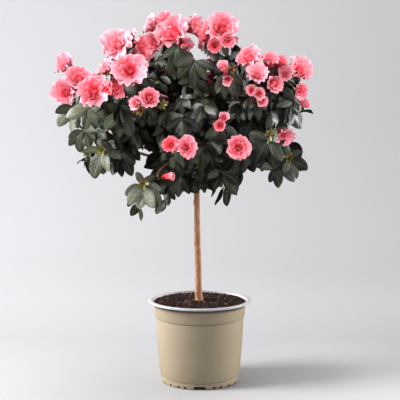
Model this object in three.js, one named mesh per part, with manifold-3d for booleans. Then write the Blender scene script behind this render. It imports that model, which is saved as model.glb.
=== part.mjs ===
// A small azalea grown as a standard: a clear stem in a round nursery pot, with a domed crown.
// Millimetres, +Z up. The origin is the centre of the pot's flat underside.
// Seen from the front, along +Y, +X is to the right.

import * as THREE from 'three';
import { mergeVertices } from 'three/addons/utils/BufferGeometryUtils.js';
import Module from 'manifold-3d';

const wasm = await Module();
wasm.setup();

// ---------- Driving dimensions ----------

const GAP = 0.3; // clearance between pieces that touch
const ROUND = 36; // sides of every turned piece

// Pot: outer radii and heights
const RIM_R = 75;
const RIM_TOP = 120.2;
const RIM_UNDER = 117.4;
const MOUTH_R = 68.4;
const COLLAR_R = 67;
const COLLAR_Z = 113;
const STEP_R = 65.2;
const STEP_Z = 96.4;
const WALL_TOP_R = 64.3;
const WALL_TOP_Z = 95;
const WALL_FOOT_R = 58.4;
const WALL_FOOT_Z = 9.8;
const FOOT_TOP_R = 57.4;
const FOOT_TOP_Z = 9;
const FOOT_R = 56;
const SHEET = 1.2; // wall thickness

// Underside: a flat centre and a flat foot ring, with a raised drain channel between them
const BASE_R = 36;
const CHANNEL_IN_R = 37.5;
const CHANNEL_OUT_R = 50;
const FOOT_IN_R = 51.5;
const CHANNEL_Z = 5;
const NOTCH_Z = 4.5;

// Notches through the foot ring: half a turn, mirrored, then repeated at the back
const NOTCHES = [
  { turn: 0, width: 18 },
  { turn: 21.7, width: 3.6 },
  { turn: 32.5, width: 3.6 },
  { turn: 48, width: 3.6 },
  { turn: 65.5, width: 3.6 },
];

// Soil: almost level with the rim, and flat where the trunk leaves it
const SOIL_EDGE_Z = 117.2;
const SOIL_MID_Z = 118.4;
const SOIL_PAD_R = 12;
const SOIL_LUMP = 0.7;

// Trunk: centre line and radius from the soil to the fork
const TRUNK_FOOT_Z = SOIL_MID_Z + GAP;
const TRUNK_TOP_Z = 314;
const TRUNK_LINE = [
  [-1.2, 0, TRUNK_FOOT_Z],
  [-3.2, 0.4, 204],
  [-4.2, 0, 266],
  [-4.4, 0, TRUNK_TOP_Z],
];
const TRUNK_FLARE_R = 6.4;
const TRUNK_FLARE_H = 7;
const TRUNK_LOW_R = 4.7;
const TRUNK_HIGH_R = 3.9;
const TRUNK_FORK_R = 4.7;

// Masses of foliage: middle, radii, and the far points that each one reaches
const MASSES = {
  foliage_left: {
    middle: [-138, 0, 412],
    radii: [58, 68, 50],
    reach: [[-206, -10, 388], [-204, -14, 456]],
  },
  foliage_top_left: {
    middle: [-62, -6, 462],
    radii: [64, 74, 54],
    reach: [[-41, -18, 535], [-116, -22, 508], [-56, 45, 520]],
  },
  foliage_top_right: {
    middle: [38, -4, 460],
    radii: [55, 74, 54],
    reach: [[34, -14, 535], [80, -20, 494], [44, 46, 518]],
  },
  foliage_right: {
    middle: [108, 2, 414],
    radii: [46, 72, 48],
    reach: [[161, -8, 448], [154, -6, 392]],
  },
  foliage_left_low: {
    middle: [-134, 4, 344],
    radii: [42, 60, 36],
    reach: [[-187, 0, 331], [-166, 0, 301], [-116, 2, 292]],
  },
  foliage_left_foot: {
    middle: [-68, -10, 292],
    radii: [31, 36, 33],
    reach: [[-100, -12, 254], [-84, -12, 243], [-42, -12, 241]],
  },
  foliage_front: {
    middle: [-8, -94, 374],
    radii: [62, 60, 62],
    reach: [[-20, -60, 282], [-36, -148, 350], [34, -148, 352]],
  },
  foliage_front_left: {
    middle: [-92, -70, 398],
    radii: [54, 58, 58],
    reach: [[-134, -110, 376]],
  },
  foliage_front_right: {
    middle: [76, -70, 394],
    radii: [50, 58, 56],
    reach: [[112, -110, 374]],
  },
  foliage_right_low: {
    middle: [122, -2, 334],
    radii: [28, 54, 34],
    reach: [[152, 0, 352], [141, -4, 286], [109, -4, 283]],
  },
  foliage_middle_low: {
    middle: [38, -22, 314],
    radii: [36, 44, 34],
    reach: [[48, -26, 266], [20, -32, 268], [76, -20, 292]],
  },
  foliage_back_left: {
    middle: [-80, 90, 398],
    radii: [64, 64, 64],
    reach: [[-116, 134, 366], [-60, 152, 416]],
  },
  foliage_back_right: {
    middle: [48, 92, 396],
    radii: [68, 62, 64],
    reach: [[100, 128, 368], [40, 154, 414]],
  },
  foliage_back_low: {
    middle: [-18, 66, 314],
    radii: [50, 46, 36],
    reach: [[-46, 96, 270], [16, 92, 268]],
  },
};

// Boughs: from the trunk to the mass that each one carries, tapering all the way
const BOUGHS = {
  bough_left_foot: { path: [[-4, 0, 287], [-30, -3, 301], [-64, -10, 297]], into: 'foliage_left_foot' },
  bough_left_low: { path: [[-5, 0, 291], [-48, 12, 322], [-128, 10, 346]], into: 'foliage_left_low' },
  bough_right_low: { path: [[-4, 0, 294], [46, 6, 320], [116, 0, 334]], into: 'foliage_right_low' },
  bough_front: { path: [[-4, 0, 299], [-5, -38, 322], [-8, -80, 360]], into: 'foliage_front' },
  bough_back_left: { path: [[-5, 0, 301], [-30, 36, 332], [-68, 80, 388]], into: 'foliage_back_left' },
  bough_back_right: { path: [[-4, 0, 305], [14, 38, 336], [42, 82, 386]], into: 'foliage_back_right' },
  bough_left: { path: [[-5, 0, 308], [-54, 0, 354], [-122, 2, 408]], into: 'foliage_left' },
  bough_right: { path: [[-4, 0, 310], [42, 0, 356], [94, 2, 406]], into: 'foliage_right' },
  bough_top_left: { path: [[-5, 0, 312], [-24, -4, 368], [-56, -8, 450]], into: 'foliage_top_left' },
  bough_top_right: { path: [[-4, 0, 312], [10, -2, 368], [32, -4, 448]], into: 'foliage_top_right' },
};
const BOUGH_R = 3.5;
const BOUGH_TIP_R = 1.6;

const SMALL_MASS = 61; // a mass whose radii are all under this has fewer facets

// ---------- Materials ----------

const potMaterial = new THREE.MeshStandardMaterial({ color: 0xb4a48c, roughness: 0.45, metalness: 0 });
const soilMaterial = new THREE.MeshStandardMaterial({ color: 0x35251c, roughness: 1, metalness: 0 });
const barkMaterial = new THREE.MeshStandardMaterial({ color: 0x9c7656, roughness: 0.85, metalness: 0 });
const leafMaterial = new THREE.MeshStandardMaterial({ color: 0x38452f, roughness: 0.55, metalness: 0 });

// ---------- Joining and cutting ----------

function toSolid(geometry) {
  const bare = geometry.clone();
  bare.deleteAttribute('normal');
  bare.deleteAttribute('uv');
  const merged = mergeVertices(bare, 1e-4);
  return new wasm.Manifold(new wasm.Mesh({
    numProp: 3,
    vertProperties: new Float32Array(merged.attributes.position.array),
    triVerts: new Uint32Array(merged.index.array),
  }));
}

function toGeometry(solid) {
  const mesh = solid.getMesh();
  const geometry = new THREE.BufferGeometry();
  geometry.setAttribute('position', new THREE.BufferAttribute(mesh.vertProperties, mesh.numProp));
  geometry.setIndex(new THREE.BufferAttribute(mesh.triVerts, 1));
  geometry.computeVertexNormals();
  return geometry;
}

function cutBy(solid, cutters) {
  return cutters.reduce((left, cutter) => left.subtract(cutter), solid);
}

// ---------- Turned pieces ----------

function turned(profile) {
  const points = profile.map(([r, z]) => new THREE.Vector2(r, z));
  const geometry = new THREE.LatheGeometry(points, ROUND);
  geometry.rotateX(Math.PI / 2);
  return geometry;
}

function potProfile() {
  return [
    [0, 0],
    [BASE_R, 0],
    [CHANNEL_IN_R, CHANNEL_Z],
    [CHANNEL_OUT_R, CHANNEL_Z],
    [FOOT_IN_R, 0],
    [FOOT_R, 0],
    [FOOT_TOP_R, FOOT_TOP_Z],
    [WALL_FOOT_R, WALL_FOOT_Z],
    [WALL_TOP_R, WALL_TOP_Z],
    [STEP_R, STEP_Z],
    [COLLAR_R, COLLAR_Z],
    [COLLAR_R + 0.8, RIM_UNDER],
    [RIM_R - 0.8, RIM_UNDER],
    [RIM_R, RIM_UNDER + 1],
    [RIM_R - 0.8, RIM_TOP],
    [MOUTH_R, RIM_TOP - 0.6],
    ...potInside(0).reverse(),
    [0, SHEET],
  ];
}

// The inner face of the sheet from the centre of the base to the mouth, moved inwards by a gap
function potInside(gap) {
  const inward = SHEET + gap;
  return [
    [BASE_R - inward, SHEET + gap],
    [CHANNEL_IN_R - inward, CHANNEL_Z + inward],
    [FOOT_TOP_R - inward, CHANNEL_Z + inward],
    [WALL_FOOT_R - inward, WALL_FOOT_Z],
    [WALL_TOP_R - inward, WALL_TOP_Z],
    [COLLAR_R - inward, COLLAR_Z],
  ];
}

function pot() {
  const cutters = [];
  for (const half of [0, 180]) {
    for (const { turn, width } of NOTCHES) {
      const sides = turn === 0 ? [1] : [1, -1];
      for (const side of sides) {
        const block = new THREE.BoxGeometry(width, 10, NOTCH_Z + 2);
        block.translate(0, -(FOOT_IN_R + FOOT_R) / 2, NOTCH_Z / 2 - 1);
        block.rotateZ(THREE.MathUtils.degToRad(half + side * turn));
        cutters.push(toSolid(block));
      }
    }
  }
  return toGeometry(cutBy(toSolid(turned(potProfile())), cutters));
}

function soil() {
  const edge = COLLAR_R - SHEET - GAP + 0.6;
  const geometry = turned([
    [0, SHEET + GAP],
    ...potInside(GAP),
    [edge, SOIL_EDGE_Z - 0.6],
    [edge - 2, SOIL_EDGE_Z],
    [edge * 0.72, SOIL_EDGE_Z + 0.2],
    [edge * 0.45, SOIL_MID_Z],
    [SOIL_PAD_R, SOIL_MID_Z],
    [0, SOIL_MID_Z],
  ]);
  const place = geometry.attributes.position;
  for (let i = 0; i < place.count; i += 1) {
    const [x, y, z] = [place.getX(i), place.getY(i), place.getZ(i)];
    const out = Math.hypot(x, y);
    if (z > SOIL_EDGE_Z - 0.1 && out > SOIL_PAD_R + 1) {
      const lump = Math.sin(x * 0.31 + 2) * Math.sin(y * 0.27 + 1) + 0.5 * Math.sin(x * 0.8 - y * 0.7);
      place.setZ(i, z + SOIL_LUMP * lump);
    }
  }
  return toGeometry(toSolid(geometry));
}

// ---------- Limbs ----------

// A closed round limb along a curve. radiusAt takes the share of the length, from 0 to 1.
function limb(points, radiusAt, sides, rings) {
  const curve = new THREE.CatmullRomCurve3(points.map((p) => new THREE.Vector3(...p)));
  const frames = curve.computeFrenetFrames(rings, false);
  const geometry = new THREE.CylinderGeometry(1, 1, rings, sides, rings);
  const place = geometry.attributes.position;
  for (let i = 0; i < place.count; i += 1) {
    const ring = Math.round(place.getY(i) + rings / 2);
    const share = ring / rings;
    const radius = radiusAt(share);
    const spot = curve.getPointAt(share);
    spot.addScaledVector(frames.normals[ring], place.getX(i) * radius);
    spot.addScaledVector(frames.binormals[ring], -place.getZ(i) * radius);
    place.setXYZ(i, spot.x, spot.y, spot.z);
  }
  return geometry;
}

function trunk(gap) {
  const length = TRUNK_TOP_Z - TRUNK_FOOT_Z;
  const radiusAt = (share) => {
    const taper = THREE.MathUtils.lerp(TRUNK_LOW_R, TRUNK_HIGH_R, share);
    const flare = (TRUNK_FLARE_R - TRUNK_LOW_R) * Math.exp(-(share * length) / TRUNK_FLARE_H);
    const fork = (TRUNK_FORK_R - TRUNK_HIGH_R) * THREE.MathUtils.smoothstep(share, 0.75, 0.95);
    return taper + flare + fork + gap;
  };
  const geometry = limb(TRUNK_LINE, radiusAt, 12, 14);
  levelEnds(geometry, TRUNK_FOOT_Z - gap, TRUNK_TOP_Z + gap);
  return geometry;
}

// Cuts both ends of an upright limb level, however it leans
function levelEnds(geometry, low, high) {
  const place = geometry.attributes.position;
  for (let i = 0; i < place.count; i += 1) {
    const z = place.getZ(i);
    if (z < TRUNK_FOOT_Z + 1) place.setZ(i, low);
    if (z > TRUNK_TOP_Z - 1) place.setZ(i, high);
  }
}

function boughTube(path, gap) {
  return limb(path, (share) => THREE.MathUtils.lerp(BOUGH_R, BOUGH_TIP_R, share) + gap, 7, 6);
}

// ---------- Foliage ----------

// A lumpy ball: an ellipsoid that swells towards each point it has to reach
function mass({ middle, radii, reach }, gap) {
  const geometry = mergeVertices(bareBall(Math.max(...radii) < SMALL_MASS ? 2 : 3), 1e-4);
  const place = geometry.attributes.position;
  const centre = new THREE.Vector3(...middle);
  const seed = middle[0] * 0.13 + middle[1] * 0.07 + middle[2] * 0.05;
  const spikes = reach.map((p) => new THREE.Vector3(...p).sub(centre));
  for (let i = 0; i < place.count; i += 1) {
    const way = new THREE.Vector3().fromBufferAttribute(place, i).normalize();
    let far = ellipsoid(way, radii) * (1 + unevenness(way, seed));
    for (const spike of spikes) {
      const aim = way.dot(spike) / spike.length();
      const extra = spike.length() - ellipsoid(spike.clone().normalize(), radii);
      far += extra * Math.exp(14 * (aim - 1));
    }
    way.multiplyScalar(far + gap).add(centre);
    place.setXYZ(i, way.x, way.y, way.z);
  }
  return geometry;
}

function bareBall(detail) {
  const ball = new THREE.IcosahedronGeometry(1, detail);
  ball.deleteAttribute('normal');
  ball.deleteAttribute('uv');
  return ball;
}

function ellipsoid(way, [a, b, c]) {
  return 1 / Math.hypot(way.x / a, way.y / b, way.z / c);
}

function unevenness(way, seed) {
  const wide = Math.sin(3.1 * way.x + seed) * Math.cos(2.7 * way.y - seed);
  const narrow = Math.sin(6.3 * way.z + 2 * seed) * Math.cos(5.1 * way.x + seed);
  return 0.05 * wide + 0.04 * narrow;
}

// ---------- The plant in its pot ----------

const plant = new THREE.Group();
plant.name = 'azalea_standard';

function place(name, geometry, material) {
  const mesh = new THREE.Mesh(geometry, material);
  mesh.name = name;
  plant.add(mesh);
}

place('pot', pot(), potMaterial);
place('soil', soil(), soilMaterial);
place('trunk', trunk(0), barkMaterial);

// Each bough starts at the trunk's side, keeps clear of its neighbours, and ends at its own mass
const taken = [toSolid(trunk(GAP))];
for (const [name, { path, into }] of Object.entries(BOUGHS)) {
  const cutters = [...taken, toSolid(mass(MASSES[into], GAP))];
  place(name, toGeometry(cutBy(toSolid(boughTube(path, 0)), cutters)), barkMaterial);
  const clear = cutBy(toSolid(boughTube(path, GAP)), [toSolid(mass(MASSES[into], 0))]);
  taken.push(clear);
}

// Each mass gives way to the wood and to the masses before it
for (const [name, sizes] of Object.entries(MASSES)) {
  place(name, toGeometry(cutBy(toSolid(mass(sizes, 0)), taken)), leafMaterial);
  taken.push(toSolid(mass(sizes, GAP)));
}

export default plant;
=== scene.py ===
# %% [markdown]
# # An azalea standard in its nursery pot
#
# A standard is a shrub trained as a small tree: one clear stem, and a round head of leaf and bloom
# that is clipped every year. We build the pot, the compost, the wood, the leaves and the double
# blooms one after another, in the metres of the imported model, so nothing has to be fitted later.

import math

import bmesh
import bpy
import numpy as np
from mathutils import Matrix, Vector, noise
from mathutils.bvhtree import BVHTree


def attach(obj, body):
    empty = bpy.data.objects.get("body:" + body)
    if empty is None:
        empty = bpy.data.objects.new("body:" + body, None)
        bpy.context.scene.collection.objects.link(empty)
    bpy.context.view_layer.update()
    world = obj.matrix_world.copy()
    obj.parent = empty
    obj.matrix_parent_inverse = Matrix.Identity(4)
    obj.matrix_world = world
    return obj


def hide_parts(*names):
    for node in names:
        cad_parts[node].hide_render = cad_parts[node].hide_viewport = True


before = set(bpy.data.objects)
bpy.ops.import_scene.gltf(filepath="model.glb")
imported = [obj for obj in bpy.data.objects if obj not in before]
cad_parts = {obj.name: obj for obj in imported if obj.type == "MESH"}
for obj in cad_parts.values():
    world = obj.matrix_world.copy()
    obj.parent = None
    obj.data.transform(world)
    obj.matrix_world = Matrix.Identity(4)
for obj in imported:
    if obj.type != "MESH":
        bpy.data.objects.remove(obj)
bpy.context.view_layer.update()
scene = bpy.context.scene
MM = 0.001
masses = [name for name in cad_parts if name.startswith("foliage")]
boughs = [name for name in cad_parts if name.startswith("bough")]
print("masses", len(masses), "boughs", len(boughs))

# %% [markdown]
# ## The camera
#
# The plant is looked at from a step and a half away, with the lens a little below the middle of the
# head and tipped down by five degrees. A long lens keeps the pot's rim from looking too round.

# %% Camera
SENSOR, LENS = 36, 87.2  # mm
EYE = (0.0003, -1.4, 0.3953)
TIPPED_DOWN = 5.28  # degrees
camera_data = bpy.data.cameras.new("camera")
camera_data.sensor_width = SENSOR
camera_data.lens = LENS
camera = bpy.data.objects.new("camera", camera_data)
camera.location = EYE
camera.rotation_euler = (math.radians(90 - TIPPED_DOWN), 0, 0)
scene.collection.objects.link(camera)
scene.camera = camera
scene.view_settings.view_transform = "Standard"
print("camera", [round(x, 3) for x in camera.location], "lens", camera_data.lens)

# %% [markdown]
# ## A material helper
#
# Every finish starts from the Principled shader. Values that are the same all over sit on its own
# sockets. Only what changes over the surface is worked out by nodes and linked in.


# %% Material helper
BLACK, WHITE = (0, 0, 0), (1, 1, 1)
MIX_FACTOR, MIX_A, MIX_B, MIX_RESULT = 0, 6, 7, 2  # the colour sockets of a Mix node


class Finish:
    """A material with its Principled shader, and short ways to add nodes to it."""

    def __init__(self, name, **sockets):
        self.material = bpy.data.materials.new(name)
        self.material.use_nodes = True
        self.tree = self.material.node_tree
        self.shader = self.tree.nodes["Principled BSDF"]
        for socket, value in sockets.items():
            self.shader.inputs[socket.replace("_", " ")].default_value = value

    def add(self, kind, links=(), **settings):
        """A new node. Links are sockets to join or plain values; the rest are the node's settings."""
        node = self.tree.nodes.new("ShaderNode" + kind)
        for key, value in settings.items():
            setattr(node, key, value)
        for socket, source in dict(links).items():
            if isinstance(source, bpy.types.NodeSocket):
                self.tree.links.new(source, node.inputs[socket])
            else:
                node.inputs[socket].default_value = source
        return node.outputs[0]

    def math(self, operation, a, b=0.0):
        return self.add("Math", {0: a, 1: b}, operation=operation)

    def ramp(self, factor, stops, interpolation="LINEAR"):
        output = self.add("ValToRGB", {0: factor})
        band = output.node.color_ramp
        band.interpolation = interpolation
        while len(band.elements) < len(stops):
            band.elements.new(0.5)
        for element, (place, color) in zip(band.elements, stops):
            element.position = place
            element.color = (*color, 1)
        return output

    def place(self):
        """The place on the piece, in metres."""
        return self.add("TexCoord").node.outputs["Object"]

    def parts(self, vector):
        """The numbers that a place is made of."""
        return self.add("SeparateXYZ", {"Vector": vector}).node.outputs

    def noise(self, scale, detail=3.0, vector=None):
        where = vector or self.place()
        return self.add("TexNoise", {"Vector": where, "Scale": scale, "Detail": detail})

    def clouds(self, scale, detail, dark, light, half=0.2):
        """Soft patches that drift between two shades."""
        return self.ramp(self.noise(scale, detail), [(0.5 - half, dark), (0.5 + half, light)])

    def mix(self, factor, a, b, blend="MIX"):
        output = self.add("Mix", data_type="RGBA", blend_type=blend)
        node = output.node
        for index, value in ((MIX_FACTOR, factor), (MIX_A, a), (MIX_B, b)):
            if isinstance(value, bpy.types.NodeSocket):
                self.tree.links.new(value, node.inputs[index])
            else:
                node.inputs[index].default_value = (*value, 1) if index else value
        return node.outputs[MIX_RESULT]

    def link(self, socket, source):
        self.tree.links.new(source, self.shader.inputs[socket])

    def bump(self, height, distance, strength=1.0):
        normal = self.add("Bump", {"Height": height, "Distance": distance, "Strength": strength})
        self.link("Normal", normal)


def srgb(red, green, blue):
    """A colour named in the usual 0 to 255 steps, as the linear values that shaders use."""
    steps = [channel / 255 for channel in (red, green, blue)]
    return tuple(c / 12.92 if c < 0.04045 else ((c + 0.055) / 1.055) ** 2.4 for c in steps)


# %% [markdown]
# ## Studio
#
# The plant stands on a pale seamless sweep. Here the sweep goes all the way round, like a very wide
# bowl, so that every side of the plant can be looked at against the same quiet ground. It is one
# profile, spun about the pot's axis. Its grey is painted paler on the left and towards the back, as
# painted light, since the light on such paper never falls quite evenly.


# %% Spinning a profile
def spun(name, profile, steps):
    """A closed surface of revolution about the Z axis from (radius, height) points in metres."""
    shell = bmesh.new()
    ring = [shell.verts.new((radius, 0, height)) for radius, height in profile]
    edges = [shell.edges.new(pair) for pair in zip(ring, ring[1:])]
    bmesh.ops.spin(shell, geom=ring + edges, cent=(0, 0, 0), axis=(0, 0, 1),
                   angle=math.tau, steps=steps, use_merge=True, use_duplicate=False)
    bmesh.ops.remove_doubles(shell, verts=shell.verts, dist=1e-6)
    bmesh.ops.recalc_face_normals(shell, faces=shell.faces)
    for face in shell.faces:
        face.smooth = True
    for edge in shell.edges:
        edge.smooth = len(edge.link_faces) < 2 or edge.calc_face_angle(0) < math.radians(38)
    mesh = bpy.data.meshes.new(name)
    shell.to_mesh(mesh)
    shell.free()
    return mesh


def show(name, mesh, *materials):
    """Puts a mesh in the scene under its name, with its materials."""
    piece = bpy.data.objects.new(name, mesh)
    for material in materials:
        mesh.materials.append(material)
    scene.collection.objects.link(piece)
    return piece


# %% Sweep
SWEEP_R, COVE_R, SWEEP_TOP = 3.4, 2.4, 3.0
FLOOR_Z = -0.0004  # a hair under the pot, so that the two never share a face
COVE_STEPS = 24
sweep_profile = [(0, FLOOR_Z), (SWEEP_R - COVE_R, FLOOR_Z)]
for turn in range(1, COVE_STEPS + 1):
    angle = turn / COVE_STEPS * math.pi / 2
    sweep_profile.append((SWEEP_R - COVE_R + COVE_R * math.sin(angle),
                          COVE_R * (1 - math.cos(angle))))
sweep_profile.append((SWEEP_R, SWEEP_TOP))
print("sweep profile", len(sweep_profile), "points")

# %% Paper finish
# Painted light: the paper's grey is lighter on the left and mostly towards the back, and darker on the
# right.
PAPER_SIDE, PAPER_RUN = 0.9, 3.7  # how far the greys change to the side, and back and up
PAPER_STOPS = (0.0, 0.07, 0.16, 0.38, 0.7, 1.0)
LEFT_GREYS, LEFT_TINT = (0.355, 0.333, 0.381, 0.455, 0.513, 0.579), (1.0, 0.987, 1.03)
RIGHT_GREYS, RIGHT_TINT = (0.39, 0.268, 0.287, 0.304, 0.336, 0.393), (1.0, 1.0, 1.005)
paper = Finish("paper_sweep", Roughness=0.9)
x, y, z = paper.parts(paper.place())
side = paper.add("MapRange", {"Value": x, "From Min": -PAPER_SIDE, "From Max": PAPER_SIDE})
way_back = paper.math("ADD", y, z)
run = paper.add("MapRange", {"Value": way_back, "From Min": 0.0, "From Max": PAPER_RUN})


def paper_ramp(greys, tint):
    """The greys from the front to the top of the sweep, each with the same slight tint."""
    return paper.ramp(run, [(stop, tuple(share * grey for share in tint))
                            for stop, grey in zip(PAPER_STOPS, greys)])


left = paper_ramp(LEFT_GREYS, LEFT_TINT)
right = paper_ramp(RIGHT_GREYS, RIGHT_TINT)
paper.link("Base Color", paper.mix(side, left, right))
SWEEP_STEPS = 96
sweep = show("studio_sweep", spun("studio_sweep", sweep_profile, SWEEP_STEPS), paper.material)
sweep.data.flip_normals()
sweep.visible_glossy = False
print("sweep", len(sweep.data.polygons), "faces")

# %% [markdown]
# ## Light
#
# Two soft boxes stand beside the plant. The left one is the key: it makes the left of the pot and the
# leaves on that side pale, and throws a soft shadow to the right. The right one lifts the other side.
# Less light reaches the front, so the middle of the pot stays darker than both its edges.
#
# Smaller lamps stand close to the plant, where a studio has its reflectors. They are soft boxes too,
# and each is kept to the pieces that it is meant for: one hangs over the paper, two light the leaves,
# one stands in front of the blooms, which would bleach under a stronger light from the side, and two
# draw the edges of the pot. The paper has a key of its own, a little nearer to the front, so that the
# pot's shadow falls back.


# %% Groups of pieces that a lamp can be kept to
def group(name, *pieces):
    """A collection that lamps are kept to. More pieces are added to it when they are made."""
    collection = bpy.data.collections.new(name)
    for piece in pieces:
        collection.objects.link(piece)
    return collection


paper_only = group("paper_only", sweep)
not_the_paper = group("not_the_paper", sweep)
not_the_paper.collection_objects[0].light_linking.link_state = "EXCLUDE"
head_leaves = group("leaves_of_the_head")
blooms_only = group("blooms_only")
sheet_plastic = group("sheet_plastic")
print("groups", [collection.name for collection in bpy.data.collections])

# %% Soft boxes
SOFT_BOXES = [
    # name, place, aimed at, width, height, watts, what it is kept to
    ("key_left", (-2.55, 0.05, 1.25), (0, 0, 0.3), 1.6, 2.3, 240, not_the_paper),
    ("key_on_paper", (-2.5, -0.5, 1.25), (0, 0, 0.3), 1.2, 2.0, 240, paper_only),
    ("fill_right", (2.4, 0.4, 0.95), (0, 0, 0.3), 1.6, 1.3, 132, not_the_paper),
    ("front_left", (-1.56, -1.09, 2.2), (0, 0, 0.3), 1.6, 1.6, 20, None),
    ("paper_light", (0.3, 0.2, 2.7), (0.3, 0.2, 0), 2.2, 2.2, 90, paper_only),
    ("head_light", (-1.25, -1.05, 1.75), (0, 0, 0.4), 0.8, 0.8, 52, head_leaves),
    ("head_fill", (1.3, -1.4, 0.8), (0, 0, 0.4), 1.0, 1.0, 8, head_leaves),
    ("bloom_light", (0.1, -1.8, 1.4), (0, 0, 0.42), 1.2, 1.2, 27, blooms_only),
    ("pot_light", (-1.7, 1.1, 0.7), (0, 0, 0.06), 0.9, 1.2, 48, sheet_plastic),
    ("pot_edge", (1.7, 1.1, 0.7), (0, 0, 0.06), 0.9, 1.2, 5, sheet_plastic),
]
for name, spot, target, width, height, watts, receivers in SOFT_BOXES:
    data = bpy.data.lights.new(name, "AREA")
    data.shape = "RECTANGLE"
    data.size, data.size_y = width, height
    data.energy = watts
    light = bpy.data.objects.new(name, data)
    light.location = spot
    light.rotation_euler = (Vector(target) - Vector(spot)).to_track_quat("-Z", "Y").to_euler()
    light.visible_camera = False
    if receivers is not None:
        light.light_linking.receiver_collection = receivers
    scene.collection.objects.link(light)

# %% Air of the room
world = bpy.data.worlds.new("studio_air")
world.use_nodes = True
air = world.node_tree.nodes["Background"]
air.inputs["Color"].default_value = (0.97, 0.96, 1, 1)
air.inputs["Strength"].default_value = 0.05
world.cycles_visibility.glossy = False
scene.world = world

# %% [markdown]
# ## Pot
#
# The real pot is thin sheet plastic, drawn down over a mould: a foot ring with drain notches, a slim
# wall, a step that stiffens the mouth, and a lip that rolls outwards. All of that is one profile, so
# it is spun. The sheet is taupe outside and white inside, and the white shows on the lip.

# %% Pot profile
OUTER = [  # radius and height in mm, from the middle of the underside up
    (0, 0), (35.4, 0), (36.1, 0.4), (37.5, 5), (50.0, 5), (51.4, 0.5), (52.0, 0),
    (55.0, 0), (55.7, 0.3), (56.1, 1.1),
    (57.3, 8.4), (57.2, 8.9), (56.7, 9.3), (56.8, 9.8), (58.2, 10.1), (58.5, 10.8),
    (60.4, 34), (62.5, 59),
    (64.15, 93.6), (64.1, 94.1), (63.3, 94.7), (63.4, 95.3), (65.0, 95.7), (65.3, 96.6),
    (66.3, 105), (67.0, 113), (67.3, 116.3), (67.9, 117.3), (69.0, 117.6), (73.2, 117.2),
]
LIP = [(74.4, 117.3), (75.0, 118.2), (75.0, 119.0), (74.5, 119.8), (73.5, 120.2), (71.0, 120.3),
       (69.4, 120.1), (68.6, 119.5), (68.2, 118.5)]
INNER = [(67.4, 116.4), (65.8, 113), (62.4, 95), (56.1, 9.8), (56.0, 6.4), (36.6, 6.4), (34.8, 1.3),
         (0, 1.3)]
print("pot profile", len(OUTER + LIP + INNER), "points")

# %% Pot shell, with its white side marked
POT_STEPS = 192
LIP_FROM_R, LIP_FROM_Z = 68, 117.25  # mm, where the white shows
WALL_FROM_Z, FLOOR_UNDER_Z = 6, 7
pot_mesh = spun("pot_shell", [(r * MM, z * MM) for r, z in OUTER + LIP + INNER], POT_STEPS)
for face in pot_mesh.polygons:
    middle = face.center
    out = math.hypot(middle.x, middle.y) / MM
    height = middle.z / MM
    faces_in = face.normal.dot(Vector((middle.x, middle.y, 0))) < 0
    on_lip = out > LIP_FROM_R and height > LIP_FROM_Z
    on_floor = height < FLOOR_UNDER_Z and face.normal.z > 0.5
    face.material_index = int((faces_in and height > WALL_FROM_Z) or on_lip or on_floor)
print("pot", len(pot_mesh.polygons), "faces")

# %% [markdown]
# Water leaves through notches in the foot ring, with a wide one at the front and the back. They are
# cut with a boolean, from one set of small blocks turned about the axis.

# %% Blocks for the drain notches
NOTCH_TURNS = [21.7, 32.5, 48, 65.5]  # degrees to each side of the wide notch
WIDE_NOTCH, SMALL_NOTCH = (18, 4.6), (4.2, 3.6)  # width and height in mm
NOTCH_R, NOTCH_DEPTH, BELOW, TOP_SHARE = 54.5, 9, 2, 0.86
cutters = bmesh.new()
for half in (0, 180):
    for turn in [0] + [side * t for t in NOTCH_TURNS for side in (1, -1)]:
        width, height = WIDE_NOTCH if turn == 0 else SMALL_NOTCH
        block = bmesh.ops.create_cube(cutters, size=1)["verts"]
        size = (width * MM, NOTCH_DEPTH * MM, (height + BELOW) * MM)
        bmesh.ops.scale(cutters, vec=size, verts=block)
        for vert in block:
            if vert.co.z > 0:
                vert.co.x *= TOP_SHARE
        out = Matrix.Translation((0, -NOTCH_R * MM, (height - BELOW) / 2 * MM))
        spot = Matrix.Rotation(math.radians(half + turn), 4, "Z") @ out
        bmesh.ops.transform(cutters, matrix=spot, verts=block)
cutter_mesh = bpy.data.meshes.new("notch_blocks")
cutters.to_mesh(cutter_mesh)
cutters.free()
print("notch blocks", len(cutter_mesh.polygons) // 6)

# %% Cutting the notches
cutter = show("notch_blocks", cutter_mesh)
pot = show("pot_shell", pot_mesh)
notch = pot.modifiers.new("notches", "BOOLEAN")
notch.object = cutter
notch.solver = "EXACT"
bpy.context.view_layer.update()
cut = bpy.data.meshes.new_from_object(pot.evaluated_get(bpy.context.evaluated_depsgraph_get()))
pot.modifiers.clear()
pot.data = cut
bpy.data.objects.remove(cutter)
print("pot with notches", len(cut.polygons), "faces")
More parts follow.
